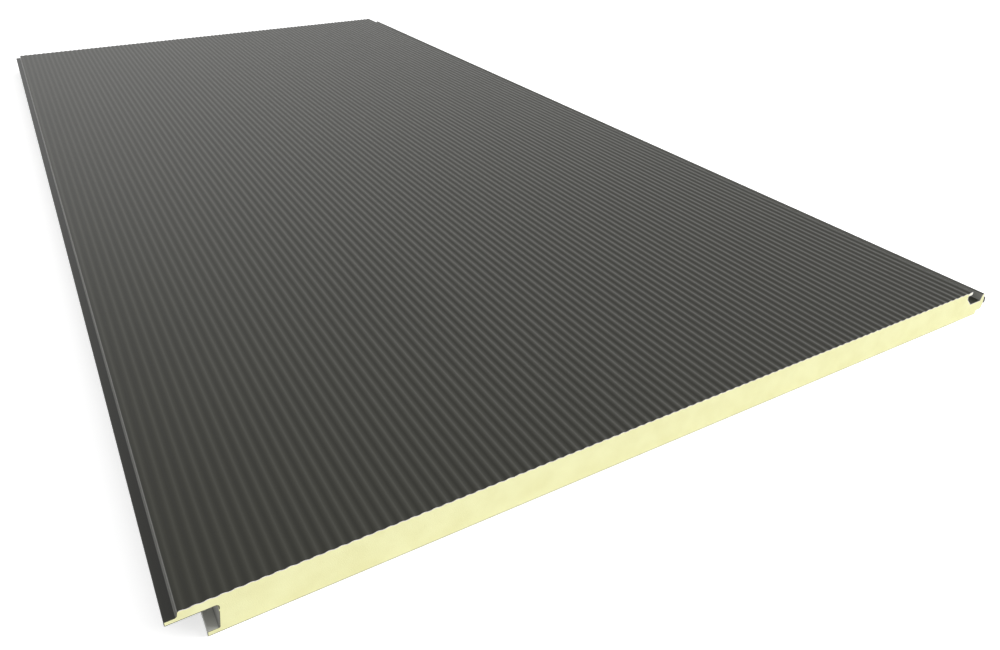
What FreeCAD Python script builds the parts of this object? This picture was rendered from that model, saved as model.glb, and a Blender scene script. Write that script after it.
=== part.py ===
import FreeCAD, Part
import Sketcher
import math
import os
from types import SimpleNamespace

# Insulated sandwich panel: two roll-formed steel sheets with a rigid foam core between them.
# X runs across the cover width, Y along the length, Z up.  The panel lies with its ribbed outer
# face up.  The left edge has a tongue and a slot, the right edge the groove and the nose that
# the tongue and the slot of the next panel close over.  Millimetres throughout.
# Sections are drawn with x = 0 at the left cover line and z = 0 at the inner face.

SIZES = [
    # the panel as a whole
    ("cover_width", 1000.0),
    ("panel_length", 2060.0),
    ("panel_thickness", 40.0),
    ("outer_gauge", 0.6),
    ("inner_gauge", 0.5),
    # fine lengthwise ribs of the outer face
    ("rib_pitch", 10.85),
    ("rib_depth", 0.9),
    ("first_crest", 1.95),
    ("lip_band", 10.0),
    # left edge: riser, tongue, slot and lower lip
    ("shelf_drop", 5.8),
    ("riser_run", 1.4),
    ("riser_foot", 1.8),
    ("tongue_length", 11.6),
    ("tongue_rake", 0.3),
    ("roof_drop", 10.4),
    ("slot_reach", 26.0),
    ("slot_lean", 8.5),
    ("slot_radius", 3.0),
    ("lower_lip_height", 5.0),
    ("lower_lip_setback", 15.6),
    ("lower_lip_rake", 0.6),
    # right edge: lip, groove and nose
    ("joint_gap", 7.0),
    ("lip_clearance", 1.1),
    ("tongue_clearance", 2.2),
    ("groove_mouth", 1.4),
    ("groove_depth", 20.0),
    ("groove_ramp", 10.2),
    ("nose_clearance", 0.5),
    ("nose_top_width", 4.0),
    ("nose_root_width", 7.8),
    ("nose_lean", 9.5),
    ("slot_wall_clearance", 1.0),
    ("nose_corner_height", 12.8),
    ("nose_corner_radius", 4.0),
    ("nose_toe_radius", 3.0),
    ("lower_lip_clearance", 0.6),
    # bends and the breaks between the two sheets
    ("bend_radius", 1.0),
    ("riser_radius", 2.0),
    ("nose_radius", 1.5),
    ("slot_wall_return", 5.0),
    ("slot_wall_break", 2.0),
    ("nose_wall_return", 8.6),
    ("nose_wall_break", 4.0),
    # seal on the outer wall of the nose
    ("seal_thickness", 3.5),
    ("seal_height", 8.5),
    ("seal_top_drop", 7.0),
    ("seal_radius", 0.8),
]


def make_spreadsheet(doc):
    """The driving dimensions, one named cell each."""
    sheet = doc.addObject("Spreadsheet::Sheet", "sizes")
    for row, (name, number) in enumerate(SIZES, start=1):
        sheet.set(f"A{row}", name)
        sheet.set(f"B{row}", str(number))
        sheet.setAlias(f"B{row}", name)
    doc.recompute()
    return sheet


def read_sizes(sheet):
    """The driving dimensions as plain numbers, with the levels and lines that follow from them."""
    s = SimpleNamespace(**{name: float(sheet.get(name)) for name, _ in SIZES})
    s.top = s.panel_thickness
    s.shelf_z = s.top - s.shelf_drop
    s.roof_z = s.top - s.roof_drop
    s.lip_z = s.shelf_z + s.lip_clearance
    s.nose_z = s.roof_z - s.nose_clearance
    s.floor_z = s.top - s.groove_depth
    s.lip_end = s.cover_width - s.joint_gap
    s.rib_steps = int((s.lip_end - s.lip_band - s.first_crest) // s.rib_pitch)
    s.last_crest = s.first_crest + s.rib_steps * s.rib_pitch
    s.nose_corner_x = s.cover_width + slot_wall_x(s, s.nose_corner_height) - s.slot_wall_clearance
    s.seal_top_z = s.nose_z - s.seal_top_drop
    return s


def slot_wall_x(s, z):
    """The slot's inner wall leans, deeper at its roof."""
    return s.slot_reach + (z - s.lower_lip_height) * math.tan(math.radians(s.slot_lean))


def nose_wall_x(s, z):
    """The outer wall of the nose leans out towards its lower corner."""
    return s.nose_corner_x - (z - s.nose_corner_height) * math.tan(math.radians(s.nose_lean))


def outer_left_bends(s):
    """Exposed corners (x, z, radius) from the slot wall round the tongue to the first crest."""
    return_z = s.roof_z - s.slot_wall_return
    return [
        (slot_wall_x(s, return_z), return_z, 0.0),
        (slot_wall_x(s, s.roof_z), s.roof_z, s.slot_radius),
        (-s.tongue_length, s.roof_z, s.bend_radius),
        (-s.tongue_length + s.tongue_rake, s.shelf_z, s.bend_radius),
        (-s.riser_foot, s.shelf_z, s.riser_radius),
        (-s.riser_foot + s.riser_run, s.top, s.riser_radius),
        (s.first_crest, s.top, 0.0),
    ]


def outer_right_bends(s):
    """Exposed corners from the last crest round the lip and through the groove to the nose."""
    throat_x = s.cover_width - s.tongue_length - s.tongue_clearance
    return_z = s.nose_z - s.nose_wall_return
    return [
        (s.last_crest, s.top, 0.0),
        (s.lip_end, s.top, s.bend_radius),
        (s.lip_end, s.lip_z, s.bend_radius),
        (throat_x - s.groove_mouth, s.lip_z, s.bend_radius),
        (throat_x, s.roof_z, s.bend_radius),
        (throat_x + s.groove_ramp, s.floor_z, s.nose_radius),
        (nose_wall_x(s, s.floor_z) - s.nose_root_width, s.floor_z, s.nose_radius),
        (nose_wall_x(s, s.nose_z) - s.nose_top_width, s.nose_z, s.nose_radius),
        (nose_wall_x(s, s.nose_z), s.nose_z, s.nose_radius),
        (nose_wall_x(s, return_z), return_z, 0.0),
    ]


def inner_bends(s):
    """Exposed corners of the inner sheet, from the nose under the panel to the slot wall."""
    start_z = s.nose_z - s.nose_wall_return - s.nose_wall_break
    end_z = s.roof_z - s.slot_wall_return - s.slot_wall_break
    lip_tip_x = s.lower_lip_setback + s.lower_lip_rake
    toe_z = s.lower_lip_height + s.lower_lip_clearance
    toe_x = s.cover_width + slot_wall_x(s, toe_z) - s.slot_wall_clearance
    step_x = s.cover_width + s.lower_lip_setback - s.lower_lip_clearance
    return [
        (nose_wall_x(s, start_z), start_z, 0.0),
        (s.nose_corner_x, s.nose_corner_height, s.nose_corner_radius),
        (toe_x, toe_z, s.nose_toe_radius),
        (step_x + s.lower_lip_rake, toe_z, s.bend_radius),
        (step_x, 0.0, s.bend_radius),
        (s.lower_lip_setback, 0.0, s.bend_radius),
        (lip_tip_x, s.lower_lip_height, s.bend_radius),
        (s.slot_reach, s.lower_lip_height, s.bend_radius),
        (slot_wall_x(s, end_z), end_z, 0.0),
    ]


def section_point(x, z):
    """A point of the section plane."""
    return FreeCAD.Vector(x, 0.0, z)


def offset_corners(bends, depth):
    """The corners moved to the foam side (right-hand side) by depth, with concentric radii."""
    points = [FreeCAD.Vector(x, z, 0) for x, z, _ in bends]
    runs = [(b - a).normalize() for a, b in zip(points, points[1:])]
    moved = [(points[0] + depth * right_of(runs[0]), 0.0)]
    for point, before, after, (_, _, radius) in zip(points[1:], runs, runs[1:], bends[1:]):
        mitre = (right_of(before) + right_of(after)) / (1.0 + before.dot(after))
        left_turn = before.cross(after).z > 0
        moved.append((point + depth * mitre, radius + depth if left_turn else radius - depth))
    moved.append((points[-1] + depth * right_of(runs[-1]), 0.0))
    return moved


def right_of(run):
    """The direction to the right of a unit run in the section plane."""
    return FreeCAD.Vector(run.y, -run.x, 0)


def bent_edges(bends, depth):
    """Straight runs joined by tangent arcs, depth below the exposed side."""
    corners = offset_corners(bends, depth)
    edges = []
    start = corners[0][0]
    for (before, _), (corner, radius), (after, _) in zip(corners, corners[1:], corners[2:]):
        run_in = (corner - before).normalize()
        run_out = (after - corner).normalize()
        half_turn = run_in.getAngle(run_out) / 2
        inset = radius * math.tan(half_turn)
        first = corner - inset * run_in
        last = corner + inset * run_out
        bisector = (run_out - run_in).normalize()
        middle = corner + radius * (1 / math.cos(half_turn) - 1) * bisector
        edges.append(straight(start, first))
        edges.append(arc(first, middle, last))
        start = last
    edges.append(straight(start, corners[-1][0]))
    return edges


def straight(a, b):
    """A straight edge between two points given as (x, z, 0)."""
    return Part.LineSegment(section_point(a.x, a.y), section_point(b.x, b.y)).toShape()


def arc(a, b, c):
    """An arc edge through three points given as (x, z, 0)."""
    return Part.Arc(*(section_point(p.x, p.y) for p in (a, b, c))).toShape()


def rib_edges(s, depth):
    """The fine ribs: equal arcs, crest and trough in turn, tangent where they meet."""
    quarter = s.rib_pitch / 4
    radius = (quarter**2 + (s.rib_depth / 2) ** 2) / s.rib_depth
    swing = math.asin(quarter / radius)

    def on_crest(index, angle):
        x = s.first_crest + index * s.rib_pitch
        reach = radius - depth
        return FreeCAD.Vector(x + reach * math.sin(angle), s.top - radius + reach * math.cos(angle), 0)

    def on_trough(index, angle):
        x = s.first_crest + (index + 0.5) * s.rib_pitch
        reach = radius + depth
        return FreeCAD.Vector(
            x + reach * math.sin(angle), s.top - s.rib_depth + radius - reach * math.cos(angle), 0
        )

    edges = [arc(on_crest(0, 0), on_crest(0, swing / 2), on_crest(0, swing))]
    for index in range(s.rib_steps):
        edges.append(arc(on_trough(index, -swing), on_trough(index, 0), on_trough(index, swing)))
        if index + 1 < s.rib_steps:
            crest = index + 1
            edges.append(arc(on_crest(crest, -swing), on_crest(crest, 0), on_crest(crest, swing)))
    last = s.rib_steps
    edges.append(arc(on_crest(last, -swing), on_crest(last, -swing / 2), on_crest(last, 0)))
    return edges


def outer_edges(s, depth):
    """The outer sheet's whole line, depth below its exposed side."""
    left = bent_edges(outer_left_bends(s), depth)
    right = bent_edges(outer_right_bends(s), depth)
    return left + rib_edges(s, depth) + right


def end_points(edges):
    """First and last point of a run of edges."""
    return edges[0].valueAt(edges[0].FirstParameter), edges[-1].valueAt(edges[-1].LastParameter)


def closed_face(*runs):
    """A face bounded by runs of edges in order, with straight edges across the gaps."""
    edges = []
    for run, following in zip(runs, runs[1:] + runs[:1]):
        edges.extend(run)
        edges.append(Part.LineSegment(end_points(run)[1], end_points(following)[0]).toShape())
    return Part.Face(Part.Wire(edges))


def sheet_face(exposed, buried):
    """The section of one sheet between its exposed line and its foam side."""
    exposed_start, exposed_end = end_points(exposed)
    buried_start, buried_end = end_points(buried)
    caps = [
        Part.LineSegment(exposed_end, buried_end).toShape(),
        Part.LineSegment(exposed_start, buried_start).toShape(),
    ]
    return Part.Face(Part.Wire(Part.__sortEdges__(exposed + buried + caps)))


def foam_face(s):
    """The core fills the sheets, and comes out flush with them at the two breaks."""
    outer_start, outer_end = end_points(outer_edges(s, 0.0))
    inner_start, inner_end = end_points(bent_edges(inner_bends(s), 0.0))
    nose_break = [Part.LineSegment(outer_end, inner_start).toShape()]
    slot_break = [Part.LineSegment(inner_end, outer_start).toShape()]
    return closed_face(
        outer_edges(s, s.outer_gauge), nose_break, bent_edges(inner_bends(s), s.inner_gauge), slot_break
    )


def centre_shift(s):
    """How far the cover line lies left of the middle of the whole section."""
    lean = math.radians(s.nose_lean)
    seal_foot_x = nose_wall_x(s, s.seal_top_z) + s.seal_height * math.sin(lean)
    farthest = seal_foot_x + s.seal_thickness * math.cos(lean)
    return (farthest - s.tongue_length) / 2


def add_profile(doc, name, face, s):
    """The section of a piece, placed at the front end of the panel."""
    profile = doc.addObject("Part::Feature", name)
    profile.Shape = face
    profile.Placement = FreeCAD.Placement(
        FreeCAD.Vector(-centre_shift(s), -s.panel_length / 2, 0), FreeCAD.Rotation()
    )
    profile.setExpression(".Placement.Base.y", "-sizes.panel_length / 2")
    return profile


def extrude_profile(doc, label, profile):
    """The piece itself: its section run along the panel's length."""
    piece = doc.addObject("Part::Extrusion", label)
    piece.Label = label
    piece.Base = profile
    piece.DirMode = "Custom"
    piece.Dir = FreeCAD.Vector(0, 1, 0)
    piece.setExpression("LengthFwd", "sizes.panel_length")
    piece.Solid = True
    return piece


def origin_plane(body, role):
    """One of a body's own origin planes."""
    return next(plane for plane in body.Origin.OriginFeatures if plane.Role == role)


def make_seal(doc, s):
    """Foam gasket strip glued along the outer wall of the nose."""
    body = doc.addObject("PartDesign::Body", "joint_seal")
    body.Label = "joint_seal"
    sketch = body.newObject("Sketcher::SketchObject", "seal_section")
    sketch.AttachmentSupport = [(origin_plane(body, "XZ_Plane"), "")]
    sketch.MapMode = "FlatFace"
    corners = [(0, 0), (s.seal_thickness, 0), (s.seal_thickness, -s.seal_height), (0, -s.seal_height)]
    points = [FreeCAD.Vector(x, z, 0) for x, z in corners]
    for a, b in zip(points, points[1:] + points[:1]):
        sketch.addGeometry(Part.LineSegment(a, b), False)
    for index in range(4):
        sketch.addConstraint(Sketcher.Constraint("Coincident", index, 2, (index + 1) % 4, 1))
    for index, direction in enumerate(["Horizontal", "Vertical", "Horizontal", "Vertical"]):
        sketch.addConstraint(Sketcher.Constraint(direction, index))
    sketch.addConstraint(Sketcher.Constraint("Coincident", 0, 1, -1, 1))
    width = sketch.addConstraint(Sketcher.Constraint("DistanceX", 0, 1, 0, 2, s.seal_thickness))
    height = sketch.addConstraint(Sketcher.Constraint("DistanceY", 1, 2, 1, 1, s.seal_height))
    sketch.setExpression(f"Constraints[{width}]", "sizes.seal_thickness")
    sketch.setExpression(f"Constraints[{height}]", "sizes.seal_height")
    doc.recompute()

    pad = body.newObject("PartDesign::Pad", "seal_strip")
    pad.Profile = sketch
    pad.Reversed = True
    pad.setExpression("Length", "sizes.panel_length")
    doc.recompute()

    far_edges = [
        f"Edge{number}"
        for number, edge in enumerate(pad.Shape.Edges, start=1)
        if edge.BoundBox.YLength > s.panel_length / 2 and edge.BoundBox.XMin > s.seal_thickness / 2
    ]
    rounding = body.newObject("PartDesign::Fillet", "seal_rounding")
    rounding.Base = (pad, far_edges)
    rounding.setExpression("Radius", "sizes.seal_radius")
    body.Tip = rounding

    seat = FreeCAD.Vector(
        nose_wall_x(s, s.seal_top_z) - centre_shift(s), -s.panel_length / 2, s.seal_top_z
    )
    body.Placement = FreeCAD.Placement(seat, FreeCAD.Rotation(FreeCAD.Vector(0, 1, 0), -s.nose_lean))
    body.setExpression(".Placement.Base.y", "-sizes.panel_length / 2")
    return body


def check_document(doc, pieces):
    """Stops on any failed object, and on any piece without a sound shape."""
    for item in doc.Objects:
        if "Invalid" in item.State or "Error" in item.State:
            raise RuntimeError(f"{item.Name} failed: {item.State}")
    for piece in pieces:
        if piece.Shape.isNull() or not piece.Shape.isValid():
            raise RuntimeError(f"{piece.Label} has no sound shape")


def main():
    doc = FreeCAD.newDocument("sandwich_panel")
    s = read_sizes(make_spreadsheet(doc))
    faces = {
        "outer_sheet": sheet_face(outer_edges(s, 0.0), outer_edges(s, s.outer_gauge)),
        "foam_core": foam_face(s),
        "inner_sheet": sheet_face(
            bent_edges(inner_bends(s), 0.0), bent_edges(inner_bends(s), s.inner_gauge)
        ),
    }
    pieces = [
        extrude_profile(doc, label, add_profile(doc, f"{label}_section", face, s))
        for label, face in faces.items()
    ]
    pieces.append(make_seal(doc, s))
    doc.recompute()
    check_document(doc, pieces)

    os.makedirs("parts", exist_ok=True)
    for piece in pieces:
        piece.Shape.exportStep(f"parts/{piece.Label}.step")
        box = piece.Shape.BoundBox
        print(piece.Label, len(piece.Shape.Solids), round(piece.Shape.Volume), box)


main()
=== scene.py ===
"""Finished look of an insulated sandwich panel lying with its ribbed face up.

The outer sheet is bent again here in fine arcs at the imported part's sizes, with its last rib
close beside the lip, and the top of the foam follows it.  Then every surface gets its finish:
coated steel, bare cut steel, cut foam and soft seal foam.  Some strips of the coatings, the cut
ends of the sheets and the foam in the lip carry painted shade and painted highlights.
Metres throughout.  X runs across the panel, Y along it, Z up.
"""

import logging
import math
from dataclasses import dataclass, field, replace
from enum import Enum
from typing import Callable, Sequence, Union

import bmesh
import bpy
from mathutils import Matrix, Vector


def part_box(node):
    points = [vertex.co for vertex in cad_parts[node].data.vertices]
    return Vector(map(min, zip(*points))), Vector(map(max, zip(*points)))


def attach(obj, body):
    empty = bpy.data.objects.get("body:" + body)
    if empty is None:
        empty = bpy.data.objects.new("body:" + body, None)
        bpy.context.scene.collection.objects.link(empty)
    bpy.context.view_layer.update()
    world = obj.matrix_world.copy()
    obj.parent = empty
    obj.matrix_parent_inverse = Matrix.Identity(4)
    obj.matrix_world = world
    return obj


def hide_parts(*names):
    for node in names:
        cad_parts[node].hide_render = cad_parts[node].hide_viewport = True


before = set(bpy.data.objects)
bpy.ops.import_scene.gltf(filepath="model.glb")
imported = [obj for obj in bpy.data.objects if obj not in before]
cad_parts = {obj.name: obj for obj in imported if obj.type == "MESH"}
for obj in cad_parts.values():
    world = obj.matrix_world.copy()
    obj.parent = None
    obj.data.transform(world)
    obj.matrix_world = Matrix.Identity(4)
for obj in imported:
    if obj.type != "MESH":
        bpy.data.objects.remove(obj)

logging.basicConfig(level=logging.INFO, format="%(message)s")
log = logging.getLogger("panel")

MM = 0.001
# vertices nearer to each other than this are one
SAME_PLACE = 0.001 * MM
# a surface this near to an end plane belongs to the cut
CUT_SKIN = 0.02 * MM
# past the panel's section on any side
BEYOND = 1.0
# places of the colours among a Mix node's sockets
MIX_FIRST, MIX_SECOND, MIX_RESULT = 6, 7, 2

Colour = tuple[float, float, float]
Corner = tuple[float, float, float]
Source = Union[bpy.types.NodeSocket, float, tuple[float, ...]]
Sockets = bpy.types.bpy_prop_collection
PlaceTest = Callable[[Vector], bool]


# ---------------------------------------------------------------- shader node helpers


class Graph:
    """A node tree with short calls to add and join nodes."""

    def __init__(self, tree: bpy.types.NodeTree) -> None:
        """Keeps the material's, world's or group's node tree."""
        self.tree = tree

    def node(self, kind: str, **settings: object) -> bpy.types.Node:
        """Adds a node.

        Args:
            kind: Blender's type name of the node.
            settings: properties set on it.

        Returns:
            The new node.
        """
        made = self.tree.nodes.new(kind)
        for name, value in settings.items():
            setattr(made, name, value)
        return made

    def feed(self, target: bpy.types.NodeSocket, source: Source) -> None:
        """Sets an input, or links it where the source is a socket.

        Args:
            target: the input socket.
            source: a number, a tuple or an output socket.
        """
        if isinstance(source, bpy.types.NodeSocket):
            self.tree.links.new(source, target)
        else:
            target.default_value = source

    def place(self) -> bpy.types.NodeSocket:
        """Place on the piece, in metres in the panel's frame."""
        return self.node("ShaderNodeTexCoord").outputs["Object"]

    def axes(self, place: bpy.types.NodeSocket) -> Sockets:
        """Splits a place.

        Args:
            place: coordinates.

        Returns:
            Its X, Y and Z sockets, by name.
        """
        split = self.node("ShaderNodeSeparateXYZ")
        self.feed(split.inputs[0], place)
        return split.outputs

    def maths(self, operation: str, first: Source, second: Source = 0.0) -> bpy.types.NodeSocket:
        """One step of arithmetic.

        Args:
            operation: name of the operation.
            first: number or socket.
            second: number or socket.

        Returns:
            The result's socket.
        """
        made = self.node("ShaderNodeMath", operation=operation)
        self.feed(made.inputs[0], first)
        self.feed(made.inputs[1], second)
        return made.outputs[0]

    def ramp(
        self, value: Source, low: Source, high: Source, to_low: Source, to_high: Source
    ) -> bpy.types.NodeSocket:
        """Maps a range of values to another, held at its ends.

        Args:
            value: number or socket.
            low: start of the range read.
            high: end of the range read.
            to_low: value given at low.
            to_high: value given at high.

        Returns:
            The mapped value's socket.
        """
        made = self.node("ShaderNodeMapRange", clamp=True)
        for socket, source in zip(made.inputs, (value, low, high, to_low, to_high)):
            self.feed(socket, source)
        return made.outputs[0]

    def blend(self, share: Source, first: Source, second: Source) -> bpy.types.NodeSocket:
        """Mixes two colours.

        Args:
            share: how much of the second colour.
            first: colour or socket.
            second: colour or socket.

        Returns:
            The mixed colour's socket.
        """
        made = self.node("ShaderNodeMix", data_type="RGBA")
        self.feed(made.inputs["Factor"], share)
        self.feed(made.inputs[MIX_FIRST], opaque(first))
        self.feed(made.inputs[MIX_SECOND], opaque(second))
        return made.outputs[MIX_RESULT]

    def noise(
        self, place: bpy.types.NodeSocket, scale: Source, detail: float, roughness: float = 0.5
    ) -> bpy.types.NodeSocket:
        """Soft noise over a place.

        Args:
            place: coordinates.
            scale: cycles for each metre.
            detail: octaves.
            roughness: weight of the finer octaves.

        Returns:
            The noise value's socket.
        """
        made = self.node("ShaderNodeTexNoise")
        self.feed(made.inputs["Vector"], place)
        self.feed(made.inputs["Scale"], scale)
        self.feed(made.inputs["Detail"], detail)
        self.feed(made.inputs["Roughness"], roughness)
        return made.outputs["Fac"]

    def relief(
        self, shader: bpy.types.Node, height: Source, strength: float, distance: float
    ) -> None:
        """Tilts the light on a surface by a fine height over it.

        Args:
            shader: the material's shader.
            height: the height's socket.
            strength: how much of it is felt.
            distance: metres that a height of 1 stands for.
        """
        bump = self.node("ShaderNodeBump")
        self.feed(bump.inputs["Strength"], strength)
        self.feed(bump.inputs["Distance"], distance)
        self.feed(bump.inputs["Height"], height)
        self.feed(shader.inputs["Normal"], bump.outputs[0])


def opaque(colour: Source) -> Source:
    """Adds the alpha that a colour socket takes.

    Args:
        colour: a colour of three numbers, or a socket.

    Returns:
        The colour with an alpha of 1, or the socket as it is.
    """
    if isinstance(colour, tuple) and len(colour) == 3:
        return (*colour, 1.0)
    return colour


def new_group(
    name: str, inputs: dict[str, float], outputs: Sequence[str]
) -> tuple[Graph, Sockets, Sockets]:
    """Starts a shader node group whose sockets are all numbers.

    Args:
        name: the group's name.
        inputs: name and default of each input.
        outputs: name of each output.

    Returns:
        The group's graph, the sockets that its inputs give, and those that its outputs take.
    """
    tree = bpy.data.node_groups.new(name, "ShaderNodeTree")
    number = "NodeSocketFloat"
    for label, default in inputs.items():
        socket = tree.interface.new_socket(name=label, in_out="INPUT", socket_type=number)
        socket.default_value = default
    for label in outputs:
        tree.interface.new_socket(name=label, in_out="OUTPUT", socket_type=number)
    graph = Graph(tree)
    return graph, graph.node("NodeGroupInput").outputs, graph.node("NodeGroupOutput").inputs


def cut_end_group() -> bpy.types.NodeTree:
    """Builds the mask of the panel's two cut ends, from the distance to its middle.

    Returns:
        The node group.
    """
    graph, given, out = new_group("cut_end", {"Half Length": 1.0}, ["Mask"])
    distance = graph.maths("ABSOLUTE", graph.axes(graph.place())["Y"])
    limit = graph.maths("SUBTRACT", given["Half Length"], CUT_SKIN)
    graph.feed(out["Mask"], graph.maths("GREATER_THAN", distance, limit))
    return graph.tree


def rolled_streaks_group() -> bpy.types.NodeTree:
    """Builds the long faint streaks that roll-forming leaves along the sheet.

    Returns:
        The node group.
    """
    graph, given, out = new_group("rolled_streaks", {"Across": 300.0, "Along": 1.5}, ["Streaks"])
    scale = graph.node("ShaderNodeCombineXYZ")
    for axis, source in (("X", "Across"), ("Y", "Along"), ("Z", "Across")):
        graph.feed(scale.inputs[axis], given[source])
    stretched = graph.node("ShaderNodeVectorMath", operation="MULTIPLY")
    graph.feed(stretched.inputs[0], graph.place())
    graph.feed(stretched.inputs[1], scale.outputs[0])
    graph.feed(out["Streaks"], graph.noise(stretched.outputs[0], 1.0, 3.0, 0.55))
    return graph.tree


def fine_grain_group() -> bpy.types.NodeTree:
    """Builds the fine grain of a coating or a soft skin, with a broader unevenness under it.

    Returns:
        The node group.
    """
    graph, given, out = new_group(
        "fine_grain", {"Grain": 2500.0, "Unevenness": 6.0}, ["Grain", "Patches"]
    )
    place = graph.place()
    graph.feed(out["Grain"], graph.noise(place, given["Grain"], 2.0))
    graph.feed(out["Patches"], graph.noise(place, given["Unevenness"], 3.0))
    return graph.tree


def strip_group() -> bpy.types.NodeTree:
    """Builds the mask of a strip that runs along the panel, with soft sides.

    Returns:
        The node group.
    """
    graph, given, out = new_group(
        "strip", {"Centre": 0.0, "Half Width": 0.01, "Softness": 0.001}, ["Mask"]
    )
    across = graph.axes(graph.place())["X"]
    offset = graph.maths("ABSOLUTE", graph.maths("SUBTRACT", across, given["Centre"]))
    fade = graph.maths("ADD", given["Half Width"], given["Softness"])
    graph.feed(out["Mask"], graph.ramp(offset, given["Half Width"], fade, 1.0, 0.0))
    return graph.tree


def zone_group() -> bpy.types.NodeTree:
    """Builds the mask of a zone between two lines across the panel and two heights.

    Returns:
        The node group.
    """
    graph, given, out = new_group(
        "zone", {"Left": -1.0, "Right": 1.0, "Bottom": 0.0, "Top": 1.0}, ["Mask"]
    )
    place = graph.axes(graph.place())
    mask = 1.0
    for axis, low, high in (("X", "Left", "Right"), ("Z", "Bottom", "Top")):
        above = graph.maths("GREATER_THAN", place[axis], given[low])
        below = graph.maths("LESS_THAN", place[axis], given[high])
        mask = graph.maths("MULTIPLY", mask, graph.maths("MULTIPLY", above, below))
    graph.feed(out["Mask"], mask)
    return graph.tree


def placed(graph: Graph, group: bpy.types.NodeTree, **values: float) -> Sockets:
    """Places a node group with its own values.

    Args:
        graph: the material's graph.
        group: the node group.
        values: input values, with the spaces of their names written as underscores.

    Returns:
        The group's output sockets, by name.
    """
    made = graph.node("ShaderNodeGroup", node_tree=group)
    for name, value in values.items():
        made.inputs[name.replace("_", " ")].default_value = value
    return made.outputs


@dataclass(frozen=True)
class SharedEffects:
    """The node groups that more than one finish uses."""

    cut_end: bpy.types.NodeTree
    streaks: bpy.types.NodeTree
    grain: bpy.types.NodeTree
    strip: bpy.types.NodeTree
    zone: bpy.types.NodeTree

    @classmethod
    def make(cls) -> "SharedEffects":
        """Builds each group once."""
        makers = (cut_end_group, rolled_streaks_group, fine_grain_group, strip_group, zone_group)
        return cls(*(maker() for maker in makers))


def new_material(name: str) -> tuple[bpy.types.Material, Graph, bpy.types.Node]:
    """Starts a material with its shader.

    Args:
        name: the material's name.

    Returns:
        The material, its graph and its principled shader.
    """
    material = bpy.data.materials.new(name)
    material.use_nodes = True
    shader = material.node_tree.nodes["Principled BSDF"]
    return material, Graph(material.node_tree), shader


# ---------------------------------------------------------------- finishes


@dataclass(frozen=True)
class Strip:
    """A strip along the panel, by the place of its middle across it."""

    centre: float
    half_width: float
    softness: float

    def moved(self, across: float) -> "Strip":
        """The same strip moved across the panel."""
        return replace(self, centre=self.centre + across)

    def mask(self, graph: Graph, effects: SharedEffects) -> bpy.types.NodeSocket:
        """Mask of the strip.

        Args:
            graph: the material's graph.
            effects: the shared node groups.

        Returns:
            The mask's socket.
        """
        sizes = {"Centre": self.centre, "Half_Width": self.half_width, "Softness": self.softness}
        return placed(graph, effects.strip, **sizes)["Mask"]


@dataclass(frozen=True)
class Zone:
    """A zone of the panel's section, which reaches beyond the panel where no limit is given."""

    left: float
    right: float = BEYOND
    bottom: float = -BEYOND
    top: float = BEYOND

    def mask(self, graph: Graph, effects: SharedEffects) -> bpy.types.NodeSocket:
        """Mask of the zone.

        Args:
            graph: the material's graph.
            effects: the shared node groups.

        Returns:
            The mask's socket.
        """
        limits = {"Left": self.left, "Right": self.right, "Bottom": self.bottom, "Top": self.top}
        return placed(graph, effects.zone, **limits)["Mask"]


@dataclass(frozen=True)
class PaintedLight:
    """A colour painted on a strip or zone of a coating, which stands in for the light or shade
    there.
    """

    where: Strip | Zone
    colour: Colour


@dataclass(frozen=True)
class RibWave:
    """Wave of the rolled ribs, which the light on the coating follows."""

    crest: float
    pitch: float
    swing: float
    ribs: Strip

    def height(self, graph: Graph, effects: SharedEffects) -> bpy.types.NodeSocket:
        """Height of the wave, in metres.

        Args:
            graph: the material's graph.
            effects: the shared node groups.

        Returns:
            The height's socket.
        """
        offset = graph.maths("SUBTRACT", graph.axes(graph.place())["X"], self.crest)
        turn = graph.maths("DIVIDE", offset, self.pitch)
        wave = graph.maths("COSINE", graph.maths("MULTIPLY", turn, 2 * math.pi))
        scaled = graph.maths("MULTIPLY", wave, self.swing)
        return graph.maths("MULTIPLY", scaled, self.ribs.mask(graph, effects))


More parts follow.
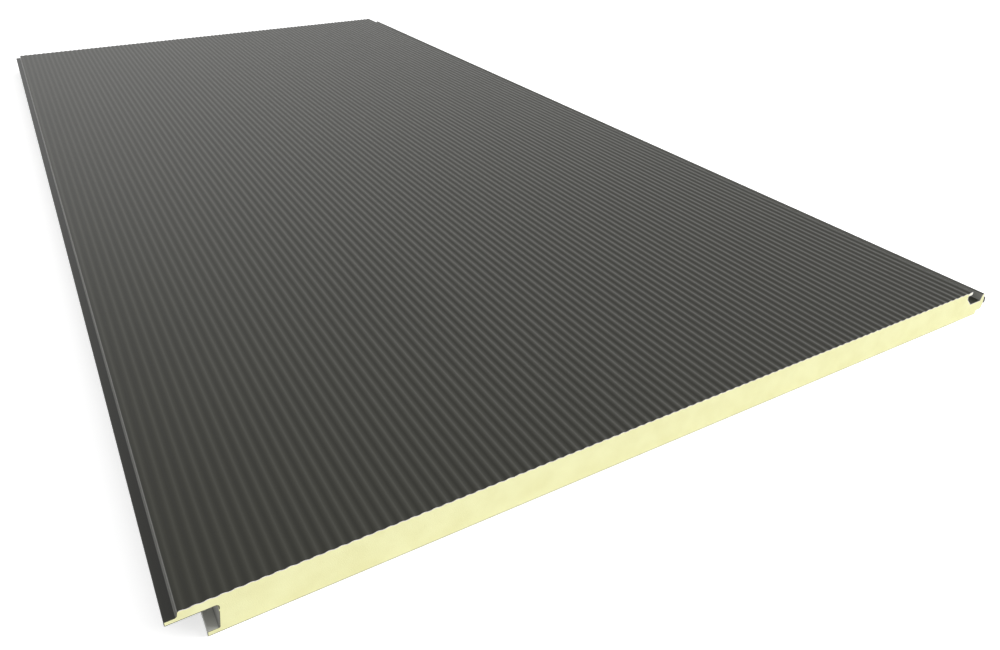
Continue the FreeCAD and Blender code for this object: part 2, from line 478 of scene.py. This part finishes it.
@dataclass(frozen=True)
class CoatedSteel:
    """Matt coil-coated steel, bare where cut: pale with a painted highlight in some zones, painted
    shade elsewhere.
    """

    name: str
    colour: Colour
    shade: Colour
    roughness: float
    streak_depth: float
    patch_depth: float = 0.35
    grit: float = 0.04
    grain_height: float = 0.006 * MM
    specular: float = 0.5
    # cut ends: pale bare steel with a painted highlight in the highlit zones, dark painted shade
    # elsewhere
    highlit_cut: Colour = (0.68, 0.66, 0.69)
    shaded_cut: Colour = (0.03, 0.031, 0.022)
    cut_roughness: float = 0.38
    cut_metal: float = 0.5
    # strips and zones of painted shade and painted light on the coating
    painted_lights: tuple[PaintedLight, ...] = ()
    highlit_cut_zones: tuple[Zone, ...] = ()
    wave: RibWave | None = None

    def build(self, effects: SharedEffects, half_length: float) -> bpy.types.Material:
        """Makes the material.

        Args:
            effects: the shared node groups.
            half_length: from the middle of the panel to its cut ends.

        Returns:
            The material.
        """
        material, graph, shader = new_material(self.name)
        streaks = placed(graph, effects.streaks, Across=420.0, Along=1.2)["Streaks"]
        grain = placed(graph, effects.grain, Grain=2200.0, Unevenness=5.0)
        cut = placed(graph, effects.cut_end, Half_Length=half_length)["Mask"]
        # painted highlight on the cut ends inside the highlit zones, painted shade outside them;
        # only the highlit cut ends are metallic
        highlit = 0.0
        for zone in self.highlit_cut_zones:
            highlit = graph.maths("MAXIMUM", highlit, zone.mask(graph, effects))
        coat = self.coat(graph, effects, streaks, grain["Patches"])
        steel = graph.blend(highlit, self.shaded_cut, self.highlit_cut)
        graph.feed(shader.inputs["Base Color"], graph.blend(cut, coat, steel))
        graph.feed(shader.inputs["Roughness"], self.gloss(graph, grain["Grain"], cut))
        metal = graph.maths("MULTIPLY", self.cut_metal, graph.maths("MULTIPLY", highlit, cut))
        graph.feed(shader.inputs["Metallic"], metal)
        shader.inputs["Specular IOR Level"].default_value = self.specular
        height = graph.maths("MULTIPLY", grain["Grain"], self.grain_height)
        if self.wave:
            height = graph.maths("ADD", height, self.wave.height(graph, effects))
        graph.relief(shader, height, 1.0, 1.0)
        return material

    def coat(
        self,
        graph: Graph,
        effects: SharedEffects,
        streaks: bpy.types.NodeSocket,
        patches: bpy.types.NodeSocket,
    ) -> bpy.types.NodeSocket:
        """Colour of the coating, with its streaks, its unevenness and its painted light and shade.

        Args:
            graph: the material's graph.
            effects: the shared node groups.
            streaks: the rolled streaks.
            patches: the broad unevenness.

        Returns:
            The colour's socket.
        """
        streak_share = graph.ramp(streaks, 0.3, 0.7, 0.0, self.streak_depth)
        patch_share = graph.ramp(patches, 0.35, 0.65, 0.0, self.patch_depth)
        coat = graph.blend(graph.maths("ADD", streak_share, patch_share), self.colour, self.shade)
        # each patch lays its painted light or shade over the coating's colour
        for light_patch in self.painted_lights:
            coat = graph.blend(light_patch.where.mask(graph, effects), coat, light_patch.colour)
        return coat

    def gloss(
        self, graph: Graph, grain: bpy.types.NodeSocket, cut: bpy.types.NodeSocket
    ) -> bpy.types.NodeSocket:
        """Roughness of the coating with its grit, and of the bare cut ends.

        Args:
            graph: the material's graph.
            grain: the fine grain.
            cut: mask of the cut ends.

        Returns:
            The roughness's socket.
        """
        grit = graph.ramp(grain, 0.3, 0.7, self.roughness - self.grit, self.roughness + self.grit)
        matt = graph.maths("MULTIPLY", grit, graph.maths("SUBTRACT", 1.0, cut))
        return graph.maths("ADD", matt, graph.maths("MULTIPLY", self.cut_roughness, cut))


@dataclass(frozen=True)
class CutFoam:
    """Pale yellow rigid foam, its fine cells open where it is sawn, with a painted highlight in
    one zone.
    """

    name: str
    colour: Colour
    shade: Colour
    # painted highlight: a paler colour over the foam in one zone
    lip_highlight_colour: Colour
    lip_highlight_zone: Zone
    cell_size: float = 0.7 * MM
    cell_depth: float = 0.25 * MM
    relief_strength: float = 0.35
    roughness: float = 0.85
    specular: float = 0.25

    def build(self, effects: SharedEffects) -> bpy.types.Material:
        """Makes the material.

        Args:
            effects: the shared node groups.

        Returns:
            The material.
        """
        material, graph, shader = new_material(self.name)
        cells = graph.node("ShaderNodeTexVoronoi", feature="F1")
        graph.feed(cells.inputs["Vector"], graph.place())
        graph.feed(cells.inputs["Scale"], 1.0 / self.cell_size)
        wall = cells.outputs["Distance"]
        grain = placed(graph, effects.grain, Grain=900.0, Unevenness=45.0)
        patches = graph.ramp(grain["Patches"], 0.35, 0.7, 0.0, 0.6)
        pores = graph.ramp(wall, 0.0, 0.35, 0.5, 0.0)
        cut = graph.blend(graph.maths("MAXIMUM", patches, pores), self.colour, self.shade)
        # painted highlight over the foam in its zone
        skin = self.lip_highlight_zone.mask(graph, effects)
        graph.feed(shader.inputs["Base Color"], graph.blend(skin, cut, self.lip_highlight_colour))
        shader.inputs["Roughness"].default_value = self.roughness
        shader.inputs["Specular IOR Level"].default_value = self.specular
        height = graph.maths("ADD", wall, grain["Grain"])
        graph.relief(shader, height, self.relief_strength, self.cell_depth)
        return material


@dataclass(frozen=True)
class SealFoam:
    """Dark grey soft foam strip with a fine open skin."""

    name: str
    colour: Colour
    shade: Colour
    pore_depth: float = 0.2 * MM
    relief_strength: float = 0.5

    def build(self, effects: SharedEffects) -> bpy.types.Material:
        """Makes the material.

        Args:
            effects: the shared node groups.

        Returns:
            The material.
        """
        material, graph, shader = new_material(self.name)
        grain = placed(graph, effects.grain, Grain=1600.0, Unevenness=120.0)
        share = graph.ramp(grain["Grain"], 0.35, 0.65, 0.0, 1.0)
        graph.feed(shader.inputs["Base Color"], graph.blend(share, self.colour, self.shade))
        graph.feed(shader.inputs["Roughness"], graph.ramp(grain["Patches"], 0.3, 0.7, 0.8, 0.95))
        graph.relief(shader, grain["Grain"], self.relief_strength, self.pore_depth)
        return material


def dress_node(node: str, material: bpy.types.Material) -> None:
    """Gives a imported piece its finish."""
    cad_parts[node].material_slots[0].material = material


# ---------------------------------------------------------------- modelling helpers


def select_vertices(test: PlaceTest) -> None:
    """Selects the vertices of the edited mesh that pass a test, and nothing else.

    Args:
        test: says of a vertex's place whether it is wanted.
    """
    bpy.ops.mesh.select_mode(type="VERT")
    bpy.ops.mesh.select_all(action="DESELECT")
    mesh = bmesh.from_edit_mesh(bpy.context.edit_object.data)
    for vertex in mesh.verts:
        if test(vertex.co):
            vertex.select_set(True)
    mesh.select_flush_mode()
    bmesh.update_edit_mesh(bpy.context.edit_object.data)


def select_folds(test: PlaceTest) -> None:
    """Selects the fold lines of the edited mesh, which run along the panel, that pass a test.

    Args:
        test: says of a vertex's place whether it is wanted.
    """
    bpy.ops.mesh.select_mode(type="EDGE")
    bpy.ops.mesh.select_all(action="DESELECT")
    mesh = bmesh.from_edit_mesh(bpy.context.edit_object.data)
    for edge in mesh.edges:
        first, last = (corner.co for corner in edge.verts)
        if abs(first.x - last.x) < SAME_PLACE and test(first) and test(last):
            edge.select_set(True)
    bmesh.update_edit_mesh(bpy.context.edit_object.data)


def at_line(x: float, z: float, reach: float = 0.02 * MM) -> PlaceTest:
    """Test for the vertices on one line along the panel.

    Args:
        x: the line's place across the panel.
        z: its height.
        reach: how near counts.

    Returns:
        The test.
    """
    return lambda place: abs(place.x - x) < reach and abs(place.z - z) < reach


def turn_between(before: Corner, corner: Corner, after: Corner) -> float:
    """Angle by which a sheet turns at a corner of its section.

    Args:
        before: the corner before it.
        corner: the corner.
        after: the corner after it.

    Returns:
        The angle in radians.
    """
    run_in = Vector((corner[0] - before[0], corner[1] - before[1]))
    run_out = Vector((after[0] - corner[0], after[1] - corner[1]))
    return run_in.angle(run_out)


def apply_modifier(piece: bpy.types.Object, kind: str, **settings: object) -> None:
    """Adds a modifier, sets it and applies it.

    Args:
        piece: the active object.
        kind: the modifier's type.
        settings: properties set on it.
    """
    modifier = piece.modifiers.new(kind.lower(), kind)
    for name, value in settings.items():
        setattr(modifier, name, value)
    bpy.ops.object.modifier_apply(modifier=modifier.name)


# ---------------------------------------------------------------- pieces


class JointEdge(Enum):
    """The panel's two long edges, by the side of the panel that they lie on."""

    TONGUE = -1
    NOSE = 1


@dataclass
class OuterSheet:
    """Roll-formed outer sheet, bent from one strip.

    Fine ribs run between two joint edges: a riser, tongue and slot roof on the left, and a lip,
    groove and nose on the right.  A bend is given in millimetres across from the cover line and
    up from the inner face, on the exposed side, with its radius.  The tongue's reach is from the
    cover line to the sheet's left limit, and the strips and zones of painted shade, painted light
    and painted highlight on the coating count from that line too.
    """

    gauge: float = 0.6 * MM
    tongue_reach: float = 11.533 * MM
    rib_pitch: float = 10.85 * MM
    rib_depth: float = 0.9 * MM
    rib_count: int = 91
    first_crest: float = 1.95 * MM
    rib_segments: int = 8
    rib_rounding: float = 0.998
    shoulder_rounding: float = 0.99
    bend_step: float = math.radians(12.0)
    smooth_angle: float = math.radians(30.0)
    tongue_bends: tuple[Corner, ...] = (
        (-0.4, 40.0, 2.0),
        (-1.8, 34.2, 2.0),
        (-11.3, 34.2, 1.0),
        (-11.6, 29.6, 1.0),
        (29.68, 29.6, 3.0),
        (28.93, 24.6, 0.0),
    )
    nose_bends: tuple[Corner, ...] = (
        (993.0, 40.0, 1.0),
        (993.0, 35.3, 1.0),
        (984.8, 35.3, 1.0),
        (986.2, 29.6, 1.0),
        (996.4, 20.0, 1.5),
        (1017.16, 20.0, 1.5),
        (1019.44, 29.1, 1.5),
        (1023.44, 29.1, 1.5),
        (1024.88, 20.5, 0.0),
    )
    coat: Colour = (0.023, 0.023, 0.0145)
    coat_shade: Colour = (0.019, 0.019, 0.012)
    wave_swing: float = 0.09 * MM
    # painted shade: the tongue's shelf is darkened where the riser beside it shades it
    shelf_shade: PaintedLight = PaintedLight(Strip(-7.0 * MM, 4.6 * MM, 0.3 * MM), (0.017, 0.017, 0.0125))
    # painted highlight: a light strip painted along the riser
    riser: PaintedLight = PaintedLight(Strip(-1.1 * MM, 0.9 * MM, 0.5 * MM), (0.2, 0.2, 0.185))
    # painted light: the groove's nose wall is lightened to stand in for the light that falls on it
    nose_wall_light: PaintedLight = PaintedLight(Strip(1018.2 * MM, 1.1 * MM, 0.4 * MM), (0.3, 0.3, 0.275))
    # from these places the cut ends carry a painted highlight: on the nose side, and along the top
    # edge above the given height
    nose_side_start: float = 975.0 * MM
    top_cut_start: float = 1.0 * MM
    top_cut_bottom: float = 38.0 * MM
    cover_line: float = field(init=False)
    top: float = field(init=False)
    length: float = field(init=False)

    def __post_init__(self) -> None:
        """Takes the cover line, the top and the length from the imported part."""
        low, high = (Vector(corner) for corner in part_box("outer_sheet"))
        self.cover_line = low.x + self.tongue_reach
        self.top = high.z
        self.length = high.y - low.y

    def build(self) -> bpy.types.Object:
        """Bends the sheet.

        Returns:
            The finished piece.
        """
        self.fold_ribs()
        for edge in JointEdge:
            self.run_out_edge(edge)
        self.round_ribs()
        for edge in JointEdge:
            self.round_edge(edge)
        return self.thicken()

    def half_fold(self) -> float:
        """Height of the sharp folds over the middle level, before rounding lowers them."""
        return self.rib_depth / 2 / (math.sqrt(2) - 1)

    def middle(self) -> float:
        """Middle level of the ribs."""
        return self.top - self.rib_depth / 2

    def ribbed_strip(self) -> Strip:
        """The strip that the ribs fill.

        Returns:
            The strip, its sides fading over a quarter of a rib.
        """
        half = self.rib_count * self.rib_pitch / 2
        edge = self.rib_pitch / 4
        return Strip(self.cover_line + self.first_crest + half, half - edge, edge)

    def nose_side(self) -> Zone:
        """The zone of the joint edge with the lip, groove and nose."""
        return Zone(self.cover_line + self.nose_side_start)

    def placed_corner(self, corner: Corner) -> Corner:
        """A corner of the section in metres, in the frame of the panel."""
        across, up, radius = corner
        return self.cover_line + across * MM, up * MM, radius * MM

    def bends(self, edge: JointEdge) -> tuple[Corner, ...]:
        """Corners of a joint edge, from the ribs outwards, in metres in the frame of the panel."""
        corners = self.tongue_bends if edge is JointEdge.TONGUE else self.nose_bends
        return tuple(map(self.placed_corner, corners))

    def end_fold(self, edge: JointEdge) -> float:
        """Place across the panel of the outermost fold beside a joint edge."""
        ribs = 0 if edge is JointEdge.TONGUE else self.rib_count
        return self.cover_line + (self.first_crest + ribs * self.rib_pitch)

    def flat_start(self, edge: JointEdge) -> Corner:
        """Where the flat band beside the ribs meets the nearest flank.

        Args:
            edge: the joint edge that the band leads to.

        Returns:
            Its place across and up, in metres, and no radius.
        """
        slope = self.half_fold() / (self.rib_pitch / 4)
        inward = self.rib_pitch / 4 - self.rib_depth / 2 / slope
        return self.end_fold(edge) - edge.value * inward, self.top, 0.0

    def fold_ribs(self) -> None:
        """Folds one sharp rib and repeats it across the sheet."""
        bpy.ops.object.select_all(action="DESELECT")
        bpy.ops.mesh.primitive_plane_add(size=1.0)
        bpy.ops.object.mode_set(mode="EDIT")
        bpy.ops.transform.resize(value=(self.rib_pitch / 2, self.length, 1.0))
        rise = 2 * self.half_fold()
        start = self.cover_line + self.first_crest + self.rib_pitch / 4
        bpy.ops.transform.translate(value=(start, 0.0, self.middle() + rise / 2))
        select_vertices(lambda place: place.x > start)
        bpy.ops.transform.translate(value=(0.0, 0.0, -rise))
        step = Vector((self.rib_pitch / 2, 0.0, rise))
        bpy.ops.mesh.extrude_region_move(TRANSFORM_OT_translate={"value": step})
        bpy.ops.object.mode_set(mode="OBJECT")
        apply_modifier(
            bpy.context.object,
            "ARRAY",
            count=self.rib_count,
            use_relative_offset=False,
            use_constant_offset=True,
            constant_offset_displace=(self.rib_pitch, 0.0, 0.0),
            use_merge_vertices=True,
            merge_threshold=0.01 * MM,
        )

    def run_out_edge(self, edge: JointEdge) -> None:
        """Draws the outermost flank down to the flat band, then the joint edge out from it.

        Args:
            edge: the joint edge.
        """
        bpy.ops.object.mode_set(mode="EDIT")
        here = self.flat_start(edge)
        fold_x = self.end_fold(edge)
        fold_z = self.middle() + self.half_fold()
        select_vertices(at_line(fold_x, fold_z))
        bpy.ops.transform.translate(value=(here[0] - fold_x, 0.0, here[1] - fold_z))
        for corner in self.bends(edge):
            step = Vector((corner[0] - here[0], 0.0, corner[1] - here[1]))
            bpy.ops.mesh.extrude_region_move(TRANSFORM_OT_translate={"value": step})
            here = corner
        bpy.ops.object.mode_set(mode="OBJECT")

    def round_ribs(self) -> None:
        """Rounds every fold until crest and trough nearly meet halfway down the flank."""
        bpy.ops.object.mode_set(mode="EDIT")
        middle = self.middle()
        fold = self.half_fold() - 0.1 * MM
        starts = [self.flat_start(edge) for edge in JointEdge]
        left, right = (start[0] for start in starts)
        select_folds(lambda place: left < place.x < right and abs(place.z - middle) > fold)
        flank = math.hypot(self.rib_pitch / 4, self.half_fold())
        rounding = {"profile": 0.5, "segments": self.rib_segments, "clamp_overlap": False}
        bpy.ops.mesh.bevel(offset=self.rib_rounding * flank, **rounding)
        shoulder = flank * self.rib_depth / 2 / self.half_fold()
        rounding = {"profile": 0.5, "segments": self.rib_segments // 2}
        for x, z, _ in starts:
            select_folds(at_line(x, z))
            bpy.ops.mesh.bevel(offset=self.shoulder_rounding * shoulder, **rounding)
        bpy.ops.object.mode_set(mode="OBJECT")

    def round_edge(self, edge: JointEdge) -> None:
        """Gives each corner of a joint edge its bend.

        Args:
            edge: the joint edge.
        """
        bpy.ops.object.mode_set(mode="EDIT")
        line = [self.flat_start(edge), *self.bends(edge)]
        for before, corner, after in zip(line, line[1:], line[2:]):
            x, z, radius = corner
            turn = turn_between(before, corner, after)
            segments = max(3, round(turn / self.bend_step))
            select_folds(at_line(x, z))
            reach = radius * math.tan(turn / 2)
            bpy.ops.mesh.bevel(offset=reach, segments=segments, profile=0.5, clamp_overlap=False)
        bpy.ops.object.mode_set(mode="OBJECT")

    def thicken(self) -> bpy.types.Object:
        """Turns the strip's exposed side outwards and gives it the gauge of the steel.

        Returns:
            The finished piece.
        """
        piece = bpy.context.object
        bpy.ops.object.mode_set(mode="EDIT")
        bpy.ops.mesh.select_all(action="SELECT")
        bpy.ops.mesh.remove_doubles(threshold=SAME_PLACE)
        bpy.ops.mesh.normals_make_consistent(inside=False)
        faces = bmesh.from_edit_mesh(piece.data).faces
        if max(faces, key=lambda face: face.calc_center_median().z).normal.z < 0:
            bpy.ops.mesh.flip_normals()
        bpy.ops.object.mode_set(mode="OBJECT")
        apply_modifier(piece, "SOLIDIFY", thickness=self.gauge, offset=-1.0, use_even_offset=True)
        bpy.ops.object.shade_smooth_by_angle(angle=self.smooth_angle)
        piece.name = "ribbed_sheet"
        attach(piece, "root")
        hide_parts("outer_sheet")
        return piece

    def dress(self, piece: bpy.types.Object, effects: SharedEffects) -> None:
        """Gives the sheet its dark coating, with painted shade, light and highlights on strips and
        cut ends.

        Args:
            piece: the finished sheet.
            effects: the shared node groups.
        """
        # painted shade on the shelf, painted light on the riser and the nose wall, all moved to
        # the cover line
        painted_lights = (self.shelf_shade, self.riser, self.nose_wall_light)
        top_cut_highlight = Zone(self.cover_line + self.top_cut_start, bottom=self.top_cut_bottom)
        first_crest = self.cover_line + self.first_crest
        coating = CoatedSteel(
            "outer_coating",
            self.coat,
            self.coat_shade,
            roughness=0.34,
            streak_depth=0.3,
            specular=0.45,
            painted_lights=tuple(PaintedLight(light_patch.where.moved(self.cover_line), light_patch.colour) for light_patch in painted_lights),
            # painted highlight on the cut ends at the nose side and along the top edge
            highlit_cut_zones=(self.nose_side(), top_cut_highlight),
            wave=RibWave(first_crest, self.rib_pitch, self.wave_swing, self.ribbed_strip()),
        )
        material = coating.build(effects, self.length / 2)
        piece.data.materials.append(material)
        dress_node("outer_sheet", material)


@dataclass
class FoamCore:
    """Rigid foam that fills the panel, its top following the ribs up to the lip."""

    rib_parts: int = 8
    colour: Colour = (0.865, 0.855, 0.505)
    shade: Colour = (0.79, 0.765, 0.415)
    # painted highlight on the foam in the narrow lip, and how far in from the lip's end it reaches
    lip_highlight_colour: Colour = (0.92, 0.915, 0.8)
    lip_reach: float = 7.0 * MM

    def build(self, sheet: OuterSheet) -> bpy.types.Object:
        """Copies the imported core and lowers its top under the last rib.

        Args:
            sheet: the ribbed sheet that lies on it.

        Returns:
            The finished piece.
        """
        piece = bpy.data.objects.new("foam_board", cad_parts["foam_core"].data.copy())
        bpy.context.collection.objects.link(piece)
        bpy.ops.object.select_all(action="DESELECT")
        piece.select_set(True)
        bpy.context.view_layer.objects.active = piece
        bpy.ops.object.mode_set(mode="EDIT")
        bpy.ops.mesh.select_all(action="SELECT")
        bpy.ops.mesh.remove_doubles(threshold=SAME_PLACE)
        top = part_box("foam_core")[1][2]
        crest = sheet.cover_line + sheet.first_crest + (sheet.rib_count - 1) * sheet.rib_pitch
        shares = [part / self.rib_parts for part in range(1, self.rib_parts)]
        lines = {share: crest + share * sheet.rib_pitch for share in shares}
        for across in lines.values():
            bpy.ops.mesh.select_all(action="SELECT")
            bpy.ops.mesh.bisect(plane_co=(across, 0.0, 0.0), plane_no=(1.0, 0.0, 0.0))
        for share, across in lines.items():
            select_vertices(at_line(across, top))
            drop = sheet.rib_depth * (1 - math.cos(2 * math.pi * share)) / 2
            bpy.ops.transform.translate(value=(0.0, 0.0, -drop))
        bpy.ops.object.mode_set(mode="OBJECT")
        bpy.ops.mesh.customdata_custom_splitnormals_clear()
        bpy.ops.object.shade_flat()
        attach(piece, "root")
        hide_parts("foam_core")
        return piece

    def dress(self, piece: bpy.types.Object, sheet: OuterSheet, effects: SharedEffects) -> None:
        """Gives the core its cut cells, with a painted highlight that makes the foam in the narrow
        lip paler.

        Args:
            piece: the finished core.
            sheet: the ribbed sheet, for the place of the lip.
            effects: the shared node groups.
        """
        lip_x, lip_z, _ = sheet.placed_corner(sheet.nose_bends[1])
        # the zone of the painted highlight in the lip
        lip = Zone(lip_x - self.lip_reach, lip_x, lip_z)
        foam = CutFoam("cut_foam", self.colour, self.shade, self.lip_highlight_colour, lip)
        material = foam.build(effects)
        piece.data.materials.clear()
        piece.data.materials.append(material)
        dress_node("foam_core", material)


@dataclass
class InnerSheet:
    """Flat inner sheet with the lower lip, the slot's inner wall and the foot of the nose.

    The slot's places are given across from the cover line.
    """

    # places of the painted shade inside the slot
    slot_wall: Strip = Strip(27.5 * MM, 2.5 * MM, 0.3 * MM)
    slot_mouth: float = 14.0 * MM
    slot_end: float = 30.0 * MM
    lip_underside: float = 1.0 * MM
    coat: Colour = (0.75, 0.75, 0.71)
    coat_shade: Colour = (0.66, 0.66, 0.62)
    # painted shade inside the slot: on the lower lip's top and on the slot's inner wall
    slot_lip_shade: Colour = (0.6, 0.6, 0.555)
    slot_wall_shade: Colour = (0.34, 0.34, 0.315)

    def dress(self, sheet: OuterSheet, effects: SharedEffects) -> None:
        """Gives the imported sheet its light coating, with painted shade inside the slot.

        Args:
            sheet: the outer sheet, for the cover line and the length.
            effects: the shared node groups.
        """
        start, end = sheet.cover_line + self.slot_mouth, sheet.cover_line + self.slot_end
        # painted shade: the slot's lip zone and inner wall are darkened
        lip = PaintedLight(Zone(start, end, bottom=self.lip_underside), self.slot_lip_shade)
        wall = PaintedLight(self.slot_wall.moved(sheet.cover_line), self.slot_wall_shade)
        coating = CoatedSteel(
            "inner_coating",
            self.coat,
            self.coat_shade,
            roughness=0.42,
            streak_depth=0.5,
            painted_lights=(lip, wall),
            # painted highlight on the cut ends at the nose side, painted shade on the rest
            highlit_cut_zones=(sheet.nose_side(),),
        )
        dress_node("inner_sheet", coating.build(effects, sheet.length / 2))


@dataclass
class JointSeal:
    """Soft foam strip on the outer wall of the nose."""

    colour: Colour = (0.06, 0.06, 0.058)
    shade: Colour = (0.03, 0.03, 0.029)

    def dress(self, effects: SharedEffects) -> None:
        """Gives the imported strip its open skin."""
        dress_node("joint_seal", SealFoam("seal_foam", self.colour, self.shade).build(effects))


# ---------------------------------------------------------------- studio


@dataclass
class Studio:
    """Plain white floor under an even sky, with one large soft light from the nose side."""

    floor_reach: float = 9.0
    floor_gap: float = 0.2 * MM
    floor_colour: Colour = (0.9, 0.9, 0.9)
    floor_glow: float = 0.52
    sky_strength: float = 0.68
    mirrored_left: float = 0.64
    mirrored_right: float = 0.95
    mirrored_from: float = -0.2
    mirrored_to: float = 0.8
    softbox_size: float = 8.0
    softbox_distance: float = 12.0
    softbox_bearing: float = math.radians(112.0)
    softbox_height: float = math.radians(20.0)
    softbox_power: float = 1450.0

    def build(self) -> None:
        """Lays the floor and hangs the lights."""
        self.lay_floor()
        self.light_world()
        self.hang_softbox()

    def lay_floor(self) -> None:
        """Lays a wide floor just under the panel, which glows white only where it is seen."""
        bpy.ops.object.select_all(action="DESELECT")
        level = (0.0, 0.0, -self.floor_gap)
        bpy.ops.mesh.primitive_plane_add(size=2 * self.floor_reach, location=level)
        floor = bpy.context.object
        floor.name = "floor"
        material, graph, shader = new_material("floor_white")
        shader.inputs["Base Color"].default_value = opaque(self.floor_colour)
        shader.inputs["Roughness"].default_value = 1.0
        shader.inputs["Specular IOR Level"].default_value = 0.0
        shader.inputs["Emission Color"].default_value = (1.0, 1.0, 1.0, 1.0)
        path = graph.node("ShaderNodeLightPath").outputs
        seen = graph.maths("MAXIMUM", path["Is Camera Ray"], path["Is Glossy Ray"])
        seen = graph.maths("MAXIMUM", seen, path["Is Transmission Ray"])
        glow = graph.maths("MULTIPLY", seen, self.floor_glow)
        graph.feed(shader.inputs["Emission Strength"], glow)
        floor.data.materials.append(material)

    def light_world(self) -> None:
        """Sets an even sky, pure white where it is seen, and brighter to the right as mirrored."""
        world = bpy.data.worlds.new("studio")
        bpy.context.scene.world = world
        world.use_nodes = True
        graph = Graph(world.node_tree)
        sky = world.node_tree.nodes["Background"]
        sky.inputs["Color"].default_value = (1.0, 1.0, 1.0, 1.0)
        across = graph.axes(graph.node("ShaderNodeTexCoord").outputs["Generated"])["X"]
        reach = (self.mirrored_from, self.mirrored_to, self.mirrored_left, self.mirrored_right)
        mirrored = graph.ramp(across, *reach)
        path = graph.node("ShaderNodeLightPath").outputs
        lit = graph.ramp(path["Is Glossy Ray"], 0.0, 1.0, self.sky_strength, mirrored)
        seen = graph.maths("MAXIMUM", path["Is Camera Ray"], path["Is Transmission Ray"])
        graph.feed(sky.inputs["Strength"], graph.ramp(seen, 0.0, 1.0, lit, 1.0))

    def hang_softbox(self) -> None:
        """Hangs a square soft light low on the nose side, aimed at the panel, without glare."""
        level = math.cos(self.softbox_height)
        ahead = level * math.sin(self.softbox_bearing), level * math.cos(self.softbox_bearing)
        aim = Vector((*ahead, math.sin(self.softbox_height)))
        light = bpy.data.lights.new("softbox", "AREA")
        light.size = self.softbox_size
        light.energy = self.softbox_power
        lamp = bpy.data.objects.new("softbox", light)
        lamp.location = aim * self.softbox_distance
        lamp.visible_glossy = False
        lamp.rotation_euler = (-aim).to_track_quat("-Z", "Y").to_euler()
        bpy.context.collection.objects.link(lamp)


@dataclass
class ViewCamera:
    """Camera low over the near left corner, looking along and down over the panel."""

    place: tuple[float, float, float] = (-0.49726, -1.50155, 0.54540)
    tilt: float = math.radians(58.298)
    turn: float = math.radians(-30.080)
    lens: float = 28.688
    sensor: float = 36.0
    near_limit: float = 0.01

    def build(self) -> None:
        """Makes the camera and gives it to the scene."""
        data = bpy.data.cameras.new("view")
        data.sensor_width = self.sensor
        data.lens = self.lens
        data.clip_start = self.near_limit
        camera = bpy.data.objects.new("view", data)
        camera.location = self.place
        camera.rotation_euler = (self.tilt, 0.0, self.turn)
        bpy.context.collection.objects.link(camera)
        bpy.context.scene.camera = camera


def main() -> None:
    """Builds the pieces in order and sets the scene."""
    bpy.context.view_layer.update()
    effects = SharedEffects.make()
    sheet = OuterSheet()
    ribbed = sheet.build()
    sheet.dress(ribbed, effects)
    log.info("built and dressed %s", ribbed.name)
    core = FoamCore()
    board = core.build(sheet)
    core.dress(board, sheet, effects)
    log.info("built and dressed %s", board.name)
    InnerSheet().dress(sheet, effects)
    log.info("dressed inner_sheet")
    JointSeal().dress(effects)
    log.info("dressed joint_seal")
    Studio().build()
    ViewCamera().build()
    bpy.context.scene.view_settings.view_transform = "Standard"


if __name__ == "__main__":
    main()
